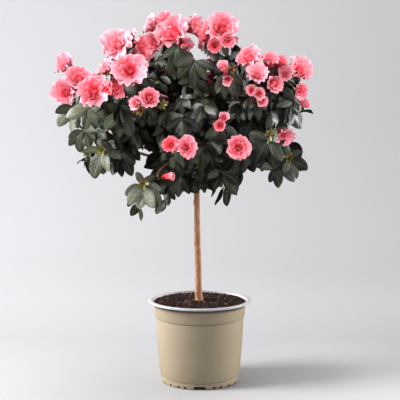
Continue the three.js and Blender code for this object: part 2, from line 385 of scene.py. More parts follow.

# %% [markdown]
# Moulded plastic is nearly even in colour. A little noise gives it faint clouds, and a very fine bump
# takes the hard edge off its gloss. The outside also darkens in a narrow band right under the lip:
# painted shade, where the roll keeps the light off.

# %% Pot finishes
POT_HEIGHT = 0.12
taupe = Finish("pot_taupe", Roughness=0.42, Specular_IOR_Level=0.45)
tone = taupe.clouds(9.0, 2.0, (0.3, 0.243, 0.165), (0.322, 0.261, 0.179))
x, y, z = taupe.parts(taupe.place())
# Painted shade: the taupe is darkened in a narrow band just under the lip.
painted_shade_under_lip = taupe.ramp(taupe.math("DIVIDE", z, POT_HEIGHT),
                       [(0.925, WHITE), (0.95, (0.28, 0.28, 0.28))])
taupe.link("Base Color", taupe.mix(1.0, tone, painted_shade_under_lip, "MULTIPLY"))
taupe.bump(taupe.noise(420.0, 2.0), 0.00004, 0.5)
white = Finish("pot_white", Roughness=0.45, Specular_IOR_Level=0.3)
white.link("Base Color", white.clouds(14.0, 2.0, (0.39, 0.386, 0.395), (0.415, 0.411, 0.42)))
cut.materials.append(taupe.material)
cut.materials.append(white.material)
sheet_plastic.objects.link(pot)
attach(pot, "root")
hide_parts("pot")
print("pot finishes", [material.name for material in cut.materials])

# %% [markdown]
# ## Compost
#
# The pot is filled to its lip with dark, coarse compost. Its surface is a finely divided disc pushed
# up and down by noise, and loose crumbs of four shades lie on it. A crumb is a twelve-cornered ball,
# squashed and turned at random, and a few thousand of them are joined into one mesh.

# %% Compost surface
SOIL_EDGE_R, SOIL_TOP, SOIL_UNDER = 67.3, 118.3, 115.5  # mm
SOIL_RINGS, SOIL_STEPS = 44, 150
rng = np.random.default_rng(11)


def soil_height(x, y):
    """The height of the compost in mm at a place given in mm."""
    out = math.hypot(x, y) / SOIL_EDGE_R
    lumps = noise.noise(Vector((x, y, 3)) * 0.11) * 1.1 + noise.noise(Vector((x, y, 9)) * 0.34) * 0.9
    return SOIL_TOP - 1.9 * out ** 6 + lumps * (1 - out ** 8)


rings = [(SOIL_EDGE_R * MM * step / SOIL_RINGS, SOIL_TOP * MM) for step in range(SOIL_RINGS + 1)]
under = [(SOIL_EDGE_R * MM, SOIL_UNDER * MM), (0, SOIL_UNDER * MM)]
ground = spun("compost_bed", rings + under, SOIL_STEPS)
for vert in ground.vertices:
    if vert.co.z > (SOIL_UNDER + 1) * MM:
        vert.co.z = soil_height(vert.co.x / MM, vert.co.y / MM) * MM
print("compost bed", len(ground.polygons), "faces")


# %% Joining copies of a small mesh
def join_copies(name, points, faces, uv=None, finish_of=None):
    """One mesh from many copies of a small one.

    The points are copies by corners by 3, in mm. The faces list the corners of one copy, uv gives each
    corner its place on the map, and finish_of gives each copy its material."""
    copies, corners = points.shape[:2]
    sides = faces.shape[1]
    index = (faces[None] + (np.arange(copies) * corners)[:, None, None]).reshape(-1, sides)
    mesh = bpy.data.meshes.new(name)
    mesh.vertices.add(copies * corners)
    mesh.vertices.foreach_set("co", (points * MM).astype(np.float32).ravel())
    mesh.loops.add(index.size)
    mesh.loops.foreach_set("vertex_index", index.astype(np.int32).ravel())
    mesh.polygons.add(len(index))
    mesh.polygons.foreach_set("loop_start", np.arange(0, index.size, sides, dtype=np.int32))
    mesh.polygons.foreach_set("use_smooth", np.ones(len(index), dtype=bool))
    if finish_of is not None:
        mesh.polygons.foreach_set("material_index", np.repeat(finish_of, len(faces)).astype(np.int32))
    if uv is not None:
        layer = mesh.uv_layers.new(name="OFBake")
        layer.data.foreach_set("uv", uv.reshape(-1, 2)[index.ravel()].astype(np.float32).ravel())
    mesh.update(calc_edges=True)
    mesh.validate()
    return mesh


def small_ball(subdivisions):
    """Corners and faces of a ball of radius 1."""
    ball = bmesh.new()
    bmesh.ops.create_icosphere(ball, subdivisions=subdivisions, radius=1)
    corners = np.array([vert.co[:] for vert in ball.verts])
    faces = np.array([[vert.index for vert in face.verts] for face in ball.faces])
    ball.free()
    return corners, faces


def turns(count):
    """Random rotation matrices."""
    return np.linalg.qr(rng.normal(size=(count, 3, 3)))[0]


# %% Crumbs
CRUMBS, BIGGEST_CRUMB = 3000, 2.6
STEM_X, OFF_STEM, OFF_EDGE = -1.2, 5.5, 1.2  # mm, where no crumb lies
ball, ball_faces = small_ball(1)
spots = []
while len(spots) < CRUMBS:
    x, y = rng.uniform(-SOIL_EDGE_R, SOIL_EDGE_R, 2)
    if math.hypot(x, y) < SOIL_EDGE_R - OFF_EDGE and math.hypot(x - STEM_X, y) > OFF_STEM:
        spots.append((x, y, soil_height(x, y)))
size = rng.uniform(0.5, 1.0, CRUMBS) ** 2.6 * BIGGEST_CRUMB
squash = rng.uniform(0.5, 1.0, (CRUMBS, 1, 3)) * np.array([1.15, 0.95, 0.75])
shape = ball[None] * squash * (1 + rng.uniform(-0.22, 0.22, (CRUMBS, len(ball), 1)))
shape = np.einsum("nij,nkj->nki", turns(CRUMBS), shape) * size[:, None, None]
crumb_points = shape + np.array(spots)[:, None] + np.array([0, 0, 0.35])
shades = rng.choice(4, CRUMBS, p=[0.5, 0.28, 0.19, 0.03])
crumbs = join_copies("compost_crumbs", crumb_points, ball_faces, finish_of=shades)
crumbs.polygons.foreach_set("use_smooth", np.zeros(len(crumbs.polygons), dtype=bool))
print("crumbs", len(crumbs.polygons), "faces")

# %% Compost finish
COMPOST_SHADES = {"dark": (22, 12, 9), "brown": (46, 27, 22), "red_brown": (82, 48, 40),
                  "chip": (130, 92, 74)}
bed = Finish("compost_bed", Roughness=0.95, Specular_IOR_Level=0.15)
bed.link("Base Color", bed.clouds(900.0, 4.0, srgb(14, 8, 7), srgb(46, 29, 23), 0.15))
bed.bump(bed.noise(1400.0, 4.0), 0.0006)
crumb_finishes = []
for shade, tint in COMPOST_SHADES.items():
    finish = Finish("compost_" + shade, Roughness=0.8, Specular_IOR_Level=0.25)
    darker, lighter = (tuple(c * share for c in srgb(*tint)) for share in (0.6, 1.25))
    finish.link("Base Color", finish.clouds(1500.0, 3.0, darker, lighter))
    crumb_finishes.append(finish.material)
compost = [show("compost_bed", ground, bed.material), show("compost_crumbs", crumbs, *crumb_finishes)]
for piece in compost:
    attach(piece, "root")
    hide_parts("soil")
print("compost pieces", [piece.name for piece in compost])

# %% [markdown]
# ## Wood
#
# The stem and the main boughs follow the same lines as in the model. A curve with a round section is
# the quickest way to a tapering limb, because the radius is given point by point. It becomes a mesh,
# and its corners are then moved along their normals, for furrows, knots and the flare at the foot.

# %% The lines of the stem and boughs, in mm
TRUNK_LINE = [(-1.2, 0, 118.7), (-3.2, 0.4, 204), (-4.2, 0, 266), (-4.4, 0, 314)]
BOUGH_LINES = {
    "left_foot": [(-4, 0, 287), (-30, -3, 301), (-64, -10, 297)],
    "left_low": [(-5, 0, 291), (-48, 12, 322), (-128, 10, 346)],
    "right_low": [(-4, 0, 294), (46, 6, 320), (116, 0, 334)],
    "front": [(-4, 0, 299), (-5, -38, 322), (-8, -80, 360)],
    "back_left": [(-5, 0, 301), (-30, 36, 332), (-68, 80, 388)],
    "back_right": [(-4, 0, 305), (14, 38, 336), (42, 82, 386)],
    "left": [(-5, 0, 308), (-54, 0, 354), (-122, 2, 408)],
    "right": [(-4, 0, 310), (42, 0, 356), (94, 2, 406)],
    "top_left": [(-5, 0, 312), (-24, -4, 368), (-56, -8, 450)],
    "top_right": [(-4, 0, 312), (10, -2, 368), (32, -4, 448)],
}


def smooth_line(points, step):
    """Even points along the Catmull-Rom curve through the given ones."""
    points = [np.array(p, float) for p in points]
    ends = [2 * points[0] - points[1], *points, 2 * points[-1] - points[-2]]
    fine = []
    for a, b, c, d in zip(ends, ends[1:], ends[2:], ends[3:]):
        for t in np.linspace(0, 1, 24, endpoint=False):
            fine.append(0.5 * (2 * b + (c - a) * t + (2 * a - 5 * b + 4 * c - d) * t * t
                               + (3 * b - a - 3 * c + d) * t ** 3))
    fine = np.array([*fine, points[-1]])
    along = np.concatenate([[0], np.cumsum(np.linalg.norm(np.diff(fine, axis=0), axis=1))])
    even = np.linspace(0, along[-1], max(3, int(along[-1] / step) + 1))
    return np.stack([np.interp(even, along, fine[:, i]) for i in range(3)], axis=1)


# %% Limbs from curves
def limbs(name, lines, resolution):
    """A mesh of round limbs from (points, radii) in mm, each closed at both ends."""
    curve = bpy.data.curves.new(name, "CURVE")
    curve.dimensions = "3D"
    curve.bevel_depth = 1
    curve.bevel_resolution = resolution
    curve.use_fill_caps = True
    for points, radii in lines:
        spline = curve.splines.new("POLY")
        spline.points.add(len(points) - 1)
        spline.points.foreach_set("co", np.c_[points * MM, np.ones(len(points))].ravel())
        spline.points.foreach_set("radius", np.asarray(radii) * MM)
    holder = bpy.data.objects.new(name, curve)
    mesh = bpy.data.meshes.new_from_object(holder)
    bpy.data.objects.remove(holder)
    for face in mesh.polygons:
        face.use_smooth = True
    return mesh


# %% Stem and boughs
STEM_HEIGHTS = [118.7, 122, 127, 140, 268, 300, 314]  # mm
STEM_RADII = [6.4, 5.8, 5.2, 4.8, 4.1, 4.6, 4.4]
BOUGH_R, BOUGH_END_R, SWAY = 3.3, 1.5, 7
trunk_points = smooth_line(TRUNK_LINE, 1.2)
wood_lines = [(trunk_points, np.interp(trunk_points[:, 2], STEM_HEIGHTS, STEM_RADII))]
bough_points = {}
for name, line in BOUGH_LINES.items():
    points = smooth_line(line, 3.0)
    sway = np.array([[noise.noise(Vector(p) * 0.02 + Vector((i * 7, 0, 0))) for i in range(3)]
                     for p in points])
    points = points + sway * np.linspace(0, 1, len(points))[:, None] * SWAY
    bough_points[name] = points
    wood_lines.append((points, np.linspace(BOUGH_R, BOUGH_END_R, len(points))))
wood = limbs("bark_wood", wood_lines, 8)
wood.update()
print("limbs", len(wood_lines))

# %% Furrows, grit and knots
KNOTS = [  # place in mm, rise, reach
    (-7, -3, 130, 1.6, 4), (-9, -2, 139, 1.2, 3.5), (-8, -3, 203, 1.3, 4), (2, -4, 168, 0.9, 4),
    (-1, -5, 236, 1.1, 4), (-9, 0, 262, 1.0, 4), (1, 4, 186, 1.2, 4), (-6, 4, 222, 1.0, 4),
]
normals = np.zeros(len(wood.vertices) * 3)
wood.vertices.foreach_get("normal", normals)
for vert, normal in zip(wood.vertices, normals.reshape(-1, 3)):
    x, y, z = (c / MM for c in vert.co)
    furrows = noise.noise(Vector((x * 0.7, y * 0.7, z * 0.09)))
    grit = noise.noise(Vector((x, y, z * 0.5)) * 1.3)
    lift = 0.28 * furrows + 0.16 * grit
    for kx, ky, kz, rise, reach in KNOTS:
        away = math.dist((x, y, z), (kx, ky, kz))
        lift += rise * math.exp(-(away / reach) ** 2)
    vert.co += Vector(normal) * (lift * MM)
print("wood", len(wood.polygons), "faces")

# %% Bark finish
bark = Finish("bark_tan", Roughness=0.8, Specular_IOR_Level=0.3)
grain_map = bark.add("Mapping", {"Vector": bark.place(), "Scale": (900, 900, 90)})
grain = bark.noise(1.0, 4.0, grain_map)
base = bark.ramp(grain, [(0.3, srgb(112, 74, 48)), (0.55, srgb(180, 126, 92)),
                         (0.75, srgb(208, 160, 124))])
worn = bark.clouds(160.0, 3.0, srgb(130, 92, 68), srgb(190, 142, 106), 0.15)
bark.link("Base Color", bark.mix(0.4, base, worn))
bark.bump(grain, 0.0005, 0.6)
piece = show("bark_wood", wood, bark.material)
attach(piece, "root")
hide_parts("trunk", *boughs)
print(piece.name, "stands for", 1 + len(boughs), "solids")

# %% [markdown]
# ## Where the blooms are
#
# A clipped azalea flowers at the ends of its shoots, in loose groups. The groups that face the
# camera are set out one by one, each bloom with its place, the way that it faces, its radius, and how
# far it has opened, from 0 for a bud to 1 for a flat one. The shade is 0 for a usual bloom, 1 for a
# pale one and 2 for a deep one.

# %% Blooms set out one by one
BLOOMS = [
    # place in mm, faces, radius, opening, shade
    ((-34, -60, 498), (-0.3, -0.8, 0.5), 23, 0.62, 0),
    ((-11, -55, 509), (0.85, -0.45, 0.25), 16, 0.62, 0),
    ((-47, -44, 515), (-0.3, -0.75, 0.6), 15, 0.7, 0),
    ((-64, -45, 511), (-0.8, -0.4, 0.4), 13, 0.5, 1),
    ((-61, -82, 486), (-0.5, -0.8, -0.1), 14, 0.5, 0),
    ((-22, -88, 479), (0.3, -0.7, -0.4), 6, 0.2, 1),
    ((30, -70, 505), (0.1, -0.9, 0.4), 22, 0.7, 0),
    ((17, -56, 508), (-0.3, -0.7, 0.6), 11, 0.6, 1),
    ((10, -66, 495), (-0.7, -0.5, 0.3), 12, 0.5, 2),
    ((32, -38, 522), (0.2, -0.3, 0.9), 12, 0.7, 0),
    ((36, -92, 489), (0.2, -0.9, -0.2), 9, 0.5, 0),
    ((20, -104, 481), (-0.1, -1, -0.1), 8, 0.32, 2),
    ((-109, -82, 481), (-0.35, -0.75, 0.5), 23, 0.78, 1),
    ((-80, -86, 474), (0.7, -0.6, 0.35), 16, 0.5, 2),
    ((-92, -114, 446), (0.05, -0.93, 0.36), 23, 0.9, 0),
    ((-124, -92, 450), (-0.6, -0.5, 0.5), 11, 0.5, 1),
    ((-187, -24, 456), (-0.5, -0.6, 0.6), 15, 0.5, 0),
    ((-163, -80, 436), (-0.1, -0.8, 0.6), 18, 0.7, 0),
    ((-183, -62, 419), (-0.35, -0.93, 0.05), 18, 0.62, 0),
    ((-141, -104, 419), (-0.1, -0.85, 0.4), 21, 0.7, 0),
    ((-117, -118, 423), (0.8, -0.5, 0.2), 12, 0.36, 2),
    ((-66, -134, 410), (0.1, -0.93, 0.3), 12, 0.43, 0),
    ((-80, -136, 405), (-0.5, -0.8, 0), 8, 0.36, 1),
    ((33, -126, 448), (-0.3, -0.8, 0.6), 6, 0.16, 1),
    ((36, -130, 437), (0.05, -0.9, -0.4), 5.5, 0.2, 1),
    ((67, -98, 462), (-0.35, -0.7, 0.6), 18, 0.7, 0),
    ((76, -112, 440), (0, -0.8, 0.55), 13, 0.55, 1),
    ((92, -92, 460), (0.25, -0.65, 0.7), 11.5, 0.5, 0),
    ((106, -86, 459), (0.5, -0.6, 0.6), 8, 0.35, 2),
    ((97, -106, 432), (0.4, -0.85, -0.2), 11, 0.42, 0),
    ((69, -122, 421), (-0.3, -0.95, 0.1), 6.5, 0.35, 0),
    ((77, -124, 417), (0, -1, 0.1), 7, 0.4, 0),
    ((80, -120, 408), (0.3, -0.95, -0.1), 6.5, 0.4, 0),
    ((115, -80, 444), (-0.2, -0.9, 0.3), 11, 0.5, 1),
    ((137, -46, 449), (0.4, -0.75, 0.5), 19, 0.75, 0),
    ((138, -50, 422), (0.5, -0.7, 0), 11, 0.6, 0),
    ((138, -60, 402), (0.9, -0.3, 0.3), 5.5, 0.1, 2),
    ((27, -138, 376), (-0.2, -0.95, 0.1), 7, 0.4, 2),
    ((31, -132, 385), (0.1, -0.9, 0.5), 5.5, 0.3, 0),
    ((51, -126, 346), (0.05, -0.95, 0.25), 16.5, 0.75, 0),
    ((-37, -138, 350), (-0.3, -0.9, 0.2), 10.5, 0.6, 2),
    ((-18, -140, 347), (0.2, -0.95, 0.2), 14, 0.7, 0),
    ((-45, -116, 308), (0.9, -0.3, 0.1), 4.5, 0.1, 2),
    ((113, -84, 363), (0.3, -0.6, -0.3), 12, 0.5, 0),
]
print("blooms by hand", len(BLOOMS))

# %% [markdown]
# The leafy shoots that shape the lower edge of the head are set out in the same way: the sprays that
# hang clear of the rest, with the light behind them. The last nine stand at the back, where they close
# the head behind its thin places.

# %% Leafy shoots set out one by one
SPRAYS = [
    # place in mm, shoot points, leaves, leaf length, shade (paler on the left: partly painted light)
    ((-132, -88, 341), (0, -0.95, 0.15), 7, 38, 3),
    ((-78, -58, 292), (-0.1, -0.9, 0.3), 8, 36, 4),
    ((31, -108, 312), (0, -0.7, -0.3), 8, 34, 1),
    ((92, -108, 356), (0, -0.95, 0.1), 7, 36, 1),
    ((122, -70, 330), (0, -0.95, 0.15), 7, 31, 1),
    ((108, -72, 318), (0, -0.95, 0.1), 6, 30, 1),
    ((129, -72, 401), (0.4, -0.8, 0.1), 7, 34, 1),
    ((-172, -72, 398), (-0.3, -0.8, -0.2), 7, 34, 4),
    ((-150, -92, 398), (0, -0.9, -0.1), 6, 34, 4),
    ((-28, -100, 478), (0, -0.85, -0.2), 7, 33, 1),
    ((-5, -110, 460), (0.1, -0.9, -0.25), 6, 34, 1),
    ((-104, -118, 392), (0, -0.9, 0), 6, 36, 3),
    ((-7, -60, 437), (0.1, -0.9, 0.1), 7, 32, 1),
    ((-160, -78, 368), (-0.2, -0.85, -0.3), 7, 32, 3),
    ((-106, -62, 347), (-0.3, -0.9, -0.2), 6, 32, 1),
    ((-27, -62, 304), (-0.1, -0.9, -0.2), 8, 34, 1),
    ((-46, -60, 322), (-0.3, -0.9, -0.2), 7, 32, 1),
    ((10, -60, 308), (0.1, -0.9, -0.3), 7, 32, 1),
    ((-60, -40, 338), (-0.1, -0.9, -0.1), 6, 30, 0),
    ((-55, -48, 318), (-0.2, -0.9, -0.2), 6, 30, 1),
    ((122, -60, 386), (0.4, -0.85, 0), 7, 32, 1),
    ((102, -82, 404), (0.2, -0.9, 0), 7, 30, 1),
    ((-147, -54, 368), (-0.3, -0.9, -0.1), 7, 32, 2),
    ((-110, -66, 338), (-0.1, -0.95, 0), 6, 34, 0),
    ((-116, -56, 354), (-0.1, -0.9, -0.1), 7, 32, 2),
    ((-6, -56, 407), (0, -0.9, 0.1), 7, 32, 0),
    ((2, -44, 420), (0.2, -0.9, 0.2), 7, 32, 0),
    ((16, -50, 402), (0.3, -0.9, 0), 7, 32, 0),
    ((72, -62, 343), (0.1, -0.9, -0.1), 7, 32, 1),
    ((88, -54, 338), (0.3, -0.9, 0), 7, 32, 0),
    ((61, -66, 333), (0, -0.9, -0.2), 7, 30, 1),
    ((104, -50, 346), (0.3, -0.9, -0.1), 6, 30, 1),
    ((-44, 62, 338), (-0.1, 0.9, -0.1), 7, 32, 0),
    ((-14, 66, 330), (0, 0.9, -0.1), 7, 32, 1),
    ((22, 62, 338), (0.1, 0.9, -0.1), 7, 32, 0),
    ((54, 58, 350), (0.2, 0.9, -0.1), 7, 32, 1),
    ((-32, 76, 368), (-0.1, 0.9, 0.1), 7, 32, 1),
    ((4, 78, 360), (0, 0.9, 0), 7, 32, 0),
    ((34, 76, 374), (0.1, 0.9, 0.1), 7, 32, 1),
    ((-2, 80, 394), (0, 0.9, 0.1), 7, 32, 0),
    ((-4, 66, 430), (0, 0.9, 0.2), 7, 32, 1),
]
BIG_BUDS = (0, 1, 4)  # shoots above that end in a fat bud
TUFTS = [  # more fat buds, between the blooms: place in mm, points
    ((-78, -137, 396), (0.1, -0.9, -0.1)),
    ((-50, -136, 402), (0.6, -0.7, 0.3)),
    ((40, -124, 448), (0.5, -0.8, 0.1)),
    ((126, -62, 407), (0.2, -0.9, -0.2)),
    ((92, -112, 366), (0.2, -0.9, 0.1)),
    ((-128, -96, 440), (0, -0.9, 0.3)),
]
print("shoots by hand", len(SPRAYS))

# %% [markdown]
# Seen from the front, the head has gaps that the light comes through. Each is an ellipse on the
# upright plane through the stem, and nothing that grows at random may show inside it. The last one
# keeps the top of the stem in sight.

# %% Gaps in the head
GAPS = [  # middle x and z, half width and half height, in mm
    (-80, 318, 15, 17), (-6, 489, 11, 9), (-7, 520, 8, 14), (89, 297, 15, 14),
    (116, 292, 26, 12), (-161, 466, 16, 14), (66, 496, 13, 14), (-3, 284, 9, 12),
]


def shows_in_gap(spot):
    """Whether a place in mm, seen from the front, shows in one of the gaps."""
    eye = np.array(camera.location) / MM
    share = -eye[1] / (spot[1] - eye[1])
    x = eye[0] + (spot[0] - eye[0]) * share
    z = eye[2] + (spot[2] - eye[2]) * share
    return any(((x - gx) / wide) ** 2 + ((z - gz) / high) ** 2 < 1 for gx, gz, wide, high in GAPS)


print("gaps", len(GAPS))

# %% [markdown]
# All the other shoots end a little under the surface of the leaf masses. Points are thrown at random
# onto the masses, those that face another mass are dropped, and a point is kept only if no other is
# near it. Shoots high in the head flower, those at the front bear leaves only, as its blooms are set
# already, and leaves are paler on the left.

# %% Surface of the leaf masses
corners, triangles = [], []
for name in masses:
    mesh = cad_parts[name].data
    mesh.calc_loop_triangles()
    start = len(corners)
    corners += [np.array(v.co) / MM for v in mesh.vertices]
    triangles += [[start + i for i in t.vertices] for t in mesh.loop_triangles]
corners = np.array(corners)
triangles = np.array(triangles)
tree = BVHTree.FromPolygons([Vector(c) for c in corners], triangles.tolist())
p0, p1, p2 = (corners[triangles[:, i]] for i in range(3))
cross = np.cross(p1 - p0, p2 - p0)
area = np.linalg.norm(cross, axis=1) / 2
facing = cross / np.maximum(area, 1e-9)[:, None] / 2
print("head surface", round(area.sum() / 1e6, 3), "square metres")

# %% Scattering shoots over the masses
FREE_AHEAD = 60  # mm of open air that a shoot on the outside needs


def scatter(throws, spacing, inset, taken):
    """Shoot ends under the surface, inset by some mm, and spaced from each other and those taken."""
    found = []
    picks = rng.choice(len(triangles), throws, p=area / area.sum())
    for pick in picks:
        a, b = sorted(rng.uniform(0, 1, 2))
        spot = p0[pick] * a + p1[pick] * (b - a) + p2[pick] * (1 - b)
        normal = facing[pick]
        hit = tree.ray_cast(Vector(spot + normal * 0.5), Vector(normal), FREE_AHEAD)
        if hit[0] is not None:
            continue
        spot = spot - normal * inset
        near = np.array([s for s, _ in found] + taken)
        if len(near) and np.linalg.norm(near - spot, axis=1).min() < spacing:
            continue
        found.append((spot, normal))
    return found


# %% Shoots: where each ends, and which way it points
def unit(vector):
    """The same direction with length 1, for one vector or for rows of them."""
    vector = np.asarray(vector, float)
    return vector / np.maximum(np.linalg.norm(vector, axis=-1, keepdims=True), 1e-9)


CROWN_MIDDLE = np.array([-20.0, 0.0, 372.0])
FACES_FRONT, FACES_DOWN = -0.35, -0.3
SOME_FLOWER, ALL_FLOWER = 375, 452  # heights in mm from which shoots may flower, and all do
shoots = []  # (end, direction, leaves, leaf length, shade)
bloom_list = []  # (middle, faces, radius, opening, shade)
for middle, faces_to, radius, opening, shade in BLOOMS:
    bloom_list.append((np.array(middle, float), unit(faces_to), radius, opening, shade))
for end, points_to, leaves, length, shade in SPRAYS:
    shoots.append((np.array(end, float), unit(points_to), leaves, length, shade))
taken = [np.array(s[0], float) for s in SPRAYS] + [np.array(b[0], float) for b in BLOOMS]
outer = scatter(throws=14000, spacing=31, inset=19, taken=taken)
for end, normal in outer:
    out = unit(end - CROWN_MIDDLE)
    direction = unit(normal * 0.6 + out * 0.6 + np.array([0, 0, 0.25]))
    if normal[2] < FACES_DOWN:
        direction = unit(out * np.array([1, 1, 0.2]) + normal * 0.35)
    front = direction[1] < FACES_FRONT
    chance = 0.0 if front or end[2] < SOME_FLOWER else 1.0 if end[2] > ALL_FLOWER else 0.5
    flowers = rng.uniform() < chance
    if shows_in_gap(end + direction * 8):
        continue
    if flowers:
        size = rng.uniform(11, 17)
        bloom_list.append((end - direction, unit(direction + rng.normal(size=3) * 0.25), size,
                           rng.uniform(0.45, 0.9), rng.choice(3, p=[0.6, 0.2, 0.2])))
    else:
        # Painted light and shade: shoots on the low left get pale greens, those on the right the
        # darkest.
        pale = 3 if end[0] < -120 and end[2] < 420 else 1 if end[0] < -40 else 0
        shoots.append((end, direction, int(rng.integers(6, 9)), rng.uniform(23, 30),
                       max(0, min(5, pale + int(rng.integers(-1, 2))))))
print("outer shoots", len(outer), "blooms", len(bloom_list), "leafy", len(shoots))

# %% [markdown]
# ## Twigs
#
# The branching rule: shoots are taken from the nearest to the old wood to the farthest, and each
# grows from the place on the wood, old or new, that it reaches most directly. It leaves along that
# wood and arrives along its own direction, on a Bezier curve.


# %% Goals of the twigs
def bloom_base(middle, faces_to, radius, opening):
    """Where the tube of a bloom joins its stalk."""
    return middle - faces_to * (radius * (1.5 - 1.0 * opening))


STALK = 4  # mm
goals = [(end, direction) for end, direction, *_ in shoots]
goals += [(bloom_base(m, f, r, o) - f * STALK, unit(f * 0.6 + unit(m - CROWN_MIDDLE) * 0.6))
          for m, f, r, o, _ in bloom_list]
wood_places, wood_ways = [], []
for points in bough_points.values():
    keep = slice(len(points) // 4, None)
    wood_places += list(points[keep])
    wood_ways += list(unit(np.gradient(points, axis=0))[keep])
old_places, old_ways = np.array(wood_places), np.array(wood_ways)
nearest = [np.linalg.norm(old_places - goal[0], axis=1).min() for goal in goals]
print("goals", len(goals), "farthest", round(max(nearest)), "mm from the old wood")


# %% Growing the twigs
def bezier(start, first, second, end, count):
    """Places along a Bezier curve with the two handles first and second."""
    t = np.linspace(0, 1, count)[:, None]
    return ((1 - t) ** 3 * start + 3 * (1 - t) ** 2 * t * first
            + 3 * (1 - t) * t * t * second + t ** 3 * end)


BEND, TWIG_STEP = 0.35, 5  # length of the handles as a share, and mm between places
TWIG_END_R, TWIG_R, THICKER = 0.85, 0.95, 0.009
twig_lines = []
for number in sorted(range(len(goals)), key=lambda i: nearest[i]):
    end, direction = goals[number]
    reach = end - old_places
    distance = np.linalg.norm(reach, axis=1)
    straight = (reach / np.maximum(distance, 1e-6)[:, None] * old_ways).sum(axis=1)
    cost = distance * (1.7 - 0.7 * straight)
    best = int(cost.argmin())
    start, way, length = old_places[best], old_ways[best], distance[best]
    leaves_by = start + unit(way + unit(end - start)) * length * BEND
    arrives_by = end - direction * length * BEND
    line = bezier(start, leaves_by, arrives_by, end, max(4, int(length / TWIG_STEP)))
    base = TWIG_R + min(length, 90) * THICKER
    twig_lines.append((line, np.linspace(base, TWIG_END_R, len(line))))
    keep = slice(1, max(2, int(len(line) * 0.75)))
    old_places = np.vstack([old_places, line[keep]])
    old_ways = np.vstack([old_ways, unit(np.gradient(line, axis=0))[keep]])
twigs = limbs("bark_twigs", twig_lines, 1)
print("twigs", len(twig_lines), "faces", len(twigs.polygons))

# %% Twig bark
twig_bark = Finish("bark_twig", Roughness=0.7)
tan = twig_bark.clouds(260.0, 3.0, srgb(84, 62, 40), srgb(138, 108, 74), 0.15)
twig_bark.link("Base Color", tan)
twig_bark.bump(twig_bark.noise(900.0, 2.0), 0.0003)
piece = show("bark_twigs", twigs, twig_bark.material)
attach(piece, "root")
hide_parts(*boughs)
print(piece.name, "joins", len(boughs), "boughs")

# %% [markdown]
# ## Leaves
#
# A leaf is a flat sheet four cells wide and ten long, narrowed to a short stalk and a blunt point. It
# bends down along its length, its halves rise a little from the midrib and turn down again at the
# margin. Leaves sit in a whorl at the end of a shoot, with a few below. They turn their upper sides to
# the light and hang a little under their weight. Each spray has its own shade of green: pale on the
# left, partly a paler green of its own and partly painted light, dark on the right and nearly black
# inside the head, as painted shade.


# %% A flat sheet to bend
def sheet_of(across, along):
    """Corners of a flat sheet, as places across from -1 to 1 and along from 0 to 1, and its faces."""
    sheet = bmesh.new()
    bmesh.ops.create_grid(sheet, x_segments=across, y_segments=along, size=1)
    places = np.array([(vert.co.x, vert.co.y / 2 + 0.5) for vert in sheet.verts])
    faces = np.array([[vert.index for vert in face.verts] for face in sheet.faces])
    sheet.free()
    return places, faces


# %% Bending leaves
DOWN = np.array([0.0, 0.0, -1.0])
SHADES = 8  # columns of the leaf map, one for each green


def map_places(shade, t, s, shades):
    """The places on the map OFBake: a column for each shade, and the length of the blade upwards."""
    uv = np.empty((len(shade), t.size, 2))
    uv[..., 0] = (shade + 0.5 + 0.46 * t) / shades
    uv[..., 1] = 0.02 + 0.96 * s
    return uv


def leaf_shapes(rows, across=4, along=10):
    """Bends one sheet per row. A row is stalk end, direction, upper side, length, half width, droop,
    twist, fold and shade; lengths in mm and angles in radians."""
    places, faces = sheet_of(across, along)
    start, way, upper = (np.array([row[i] for row in rows]) for i in range(3))
    length, wide, droop, twist, fold, shade = (
        np.array([row[i] for row in rows], float) for i in range(3, 9))
    steps = np.unique(places[:, 1].round(6))
    along_leaf = (1 - np.cos(np.pi * steps)) / 2
    middle, ways, ups, sides = [start], [], [], []
    for index, s in enumerate(along_leaf):
        bent = unit(way + DOWN * (droop * s ** 1.3)[:, None] - upper * (0.25 * s))
        up = unit(upper - (upper * bent).sum(axis=1, keepdims=True) * bent)
        side = np.cross(bent, up)
        turn = (twist * s)[:, None]
        ups.append(up * np.cos(turn) + side * np.sin(turn))
        sides.append(side * np.cos(turn) - up * np.sin(turn))
        ways.append(bent)
        if index:
            gap = s - along_leaf[index - 1]
            middle.append(middle[-1] + unit(ways[-1] + ways[-2]) * (length * gap)[:, None])
    row_of = np.searchsorted(steps, places[:, 1].round(6))
    s = along_leaf[row_of]
    t = places[:, 0]
    outline = np.sin(np.pi * s ** 1.08) ** 0.6 * np.minimum(1, 0.4 + s * 2.4)
    half = np.maximum(wide[:, None] * outline[None], 0.6)
    middle, ups, sides = (np.array(a)[row_of].transpose(1, 0, 2) for a in (middle, ups, sides))
    rise = np.abs(t)[None] * np.sin(fold)[:, None] + 0.3 * np.abs(t) - 0.46 * t ** 2
    ripple = 0.10 * np.sin(9 * s[None] + shade[:, None] * 2 + start[:, :1]) * np.abs(t)[None] ** 2
    points = middle + sides * (half * t * np.cos(fold)[:, None])[..., None]
    points = points + ups * (half * (rise + ripple))[..., None]
    return points, faces, map_places(shade[:, None], t[None], s[None], SHADES)


# %% Whorls of leaves
PALEST = 5


def side_of(direction):
    """Two directions at right angles to the given one."""
    helper = np.array([0.0, 0, 1]) if abs(direction[2]) < 0.9 else np.array([1.0, 0, 0])
    first = unit(np.cross(direction, helper))
    return first, np.cross(direction, first)


def leaning(direction, around, lean):
    """A direction that leans out at an angle round a shoot, and the direction of its upper side."""
    first, second = side_of(direction)
    out = first * math.cos(around) + second * math.sin(around)
    return (direction * math.cos(lean) + out * math.sin(lean),
            direction * math.sin(lean) - out * math.cos(lean))


